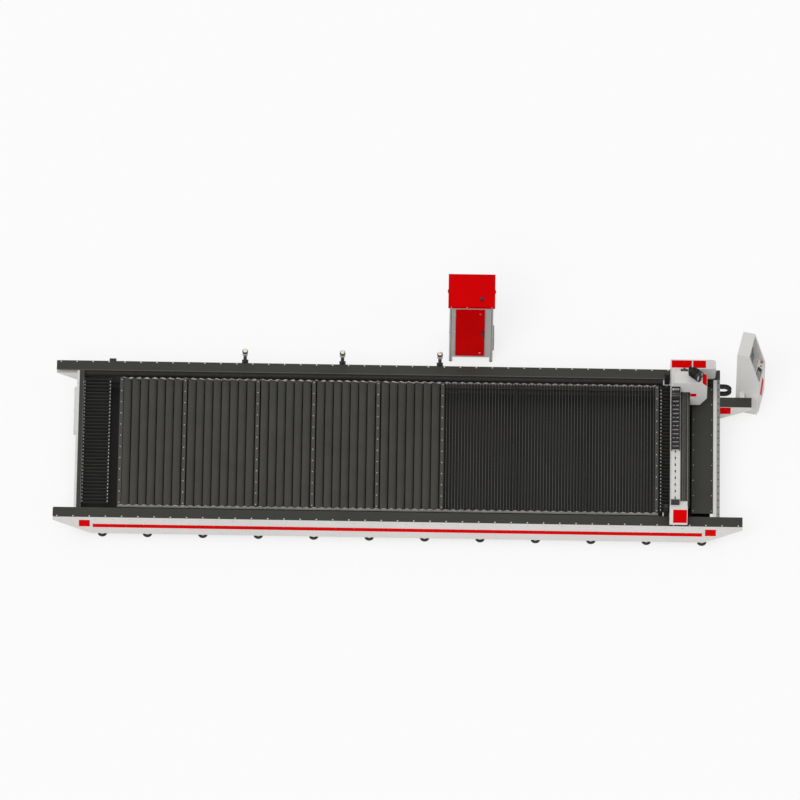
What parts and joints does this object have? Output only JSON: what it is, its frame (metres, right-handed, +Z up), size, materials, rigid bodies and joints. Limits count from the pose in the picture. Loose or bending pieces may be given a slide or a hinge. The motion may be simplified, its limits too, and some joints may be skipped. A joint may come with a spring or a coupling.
{
  "type": "fiber laser cutting machine",
  "caption": "Long flatbed fiber laser cutting machine: slat bed between two rail beams, driven gantry with a cutting head carriage, operator console and free-standing laser source cabinet.",
  "frame": {"origin": "floor level, under the middle of the whole installation's outline", "axes": "+X along the rail beams towards the operator console, +Y from the front beam to the cabinet, +Z up"},
  "size_m": [13.47, 4.985, 1.839],
  "materials": {
    "white_paint": "satin",
    "red_paint": "satin",
    "cover_paint": "satin",
    "guide_steel": "ground",
    "black_metal": "satin",
    "bed_steel": "mill scale",
    "bar_steel": "worn",
    "bare_aluminium": "brushed",
    "chain_plastic": "matte",
    "head_metal": "anodised",
    "nozzle_brass": "polished",
    "display_plastic": "matte",
    "screen": "gloss",
    "panel_metal": "satin",
    "green_button": "gloss",
    "red_button": "gloss",
    "grey_paint": "satin",
    "source_metal": "satin"
  },
  "bodies": {
    "bed": {"front_rail_beam": "white_paint", "rear_rail_beam": "white_paint", "rail_covers": "cover_paint", "x_guideways": "guide_steel", "red_trim": "red_paint", "levelling_feet": "black_metal", "left_end_wall": "white_paint", "right_end_wall": "white_paint", "cross_ties": "bed_steel", "zone_partitions": "bed_steel", "joint_bars": "bar_steel", "slag_floor": "bed_steel", "louvre_slats": "bed_steel", "upright_slats": "bed_steel", "bed_combs": "bed_steel", "grate_combs": "bed_steel", "grate_bars": "bed_steel", "deck_plate": "cover_paint", "small_fittings": "black_metal", "coupling_caps": "bare_aluminium", "chain_trough": "white_paint", "rear_arm": "white_paint", "console_body": "white_paint", "console_display": "display_plastic", "console_screen": "screen", "console_panel": "panel_metal", "cabinet_frame": "grey_paint", "cabinet_panels": "grey_paint", "cabinet_hood": "red_paint", "laser_modules": "source_metal"},
    "gantry": {"bridge": "white_paint", "front_carriage": "white_paint", "rear_carriage": "white_paint", "x_bearings": "guide_steel", "x_drives": "black_metal", "front_cap": "white_paint", "rear_cap": "white_paint", "cap_panels": "red_paint", "y_guideways": "guide_steel", "chain_tray": "bare_aluminium", "y_chain": "chain_plastic", "x_chain": "chain_plastic"},
    "front_pinion": {"front_pinion": "guide_steel"},
    "rear_pinion": {"rear_pinion": "guide_steel"},
    "carriage": {"carriage_plate": "bare_aluminium", "carriage_guides": "guide_steel", "housing": "white_paint", "carriage_trim": "red_paint", "y_chain_bend": "chain_plastic", "carriage_motors": "black_metal", "work_lamp": "black_metal"},
    "y_pinion": {"y_pinion": "guide_steel"},
    "z_screw": {"z_screw": "guide_steel"},
    "head": {"z_plate": "bare_aluminium", "cutting_head": "head_metal", "nozzle": "nozzle_brass"},
    "door": {"cabinet_door": "red_paint", "door_handle": "black_metal"},
    "start_button": {"start_button": "green_button"},
    "emergency_stop": {"emergency_stop": "red_button"}
  },
  "joints": [
    {"name": "gantry_x", "type": "slide", "parent": "bed", "child": "gantry", "axis": [1, 0, 0], "range_m": [-10.4, 0]},
    {"name": "front_pinion_spin", "type": "hinge", "parent": "gantry", "child": "front_pinion", "pos_m": [4.87, -2.2081, 0.515], "axis": [0, 0, 1], "continuous": true},
    {"name": "rear_pinion_spin", "type": "hinge", "parent": "gantry", "child": "rear_pinion", "pos_m": [4.87, 0.8851, 0.515], "axis": [0, 0, 1], "continuous": true},
    {"name": "carriage_y", "type": "slide", "parent": "gantry", "child": "carriage", "axis": [0, 1, 0], "range_m": [-2.44, 0.32]},
    {"name": "y_pinion_spin", "type": "hinge", "parent": "carriage", "child": "y_pinion", "pos_m": [5.305, 0.5425, 0.8696], "axis": [1, 0, 0], "continuous": true},
    {"name": "head_z", "type": "slide", "parent": "carriage", "child": "head", "axis": [0, 0, 1], "range_m": [-0.055, 0.06]},
    {"name": "z_screw_spin", "type": "hinge", "parent": "carriage", "child": "z_screw", "pos_m": [5.363, 0.4135, 0.94], "axis": [0, 0, 1], "continuous": true},
    {"name": "door_swing", "type": "hinge", "parent": "bed", "child": "door", "pos_m": [0.8316, 1.7431, 0.9505], "axis": [0, 0, -1], "range_deg": [0, 105]},
    {"name": "start_press", "type": "slide", "parent": "bed", "child": "start_button", "axis": [-0.6521, 0.1386, -0.7454], "range_m": [0, 0.005], "stiffness_N_per_m": 600},
    {"name": "stop_press", "type": "slide", "parent": "bed", "child": "emergency_stop", "axis": [-0.6521, 0.1386, -0.7454], "range_m": [0, 0.005], "stiffness_N_per_m": 900}
  ],
  "couplings": [
    {"joint": "front_pinion_spin", "follows": "gantry_x", "rad_per_m": -26.316},
    {"joint": "rear_pinion_spin", "follows": "gantry_x", "rad_per_m": 26.316},
    {"joint": "y_pinion_spin", "follows": "carriage_y", "rad_per_m": 33.333},
    {"joint": "z_screw_spin", "follows": "head_z", "rad_per_m": -628.32}
  ]
}
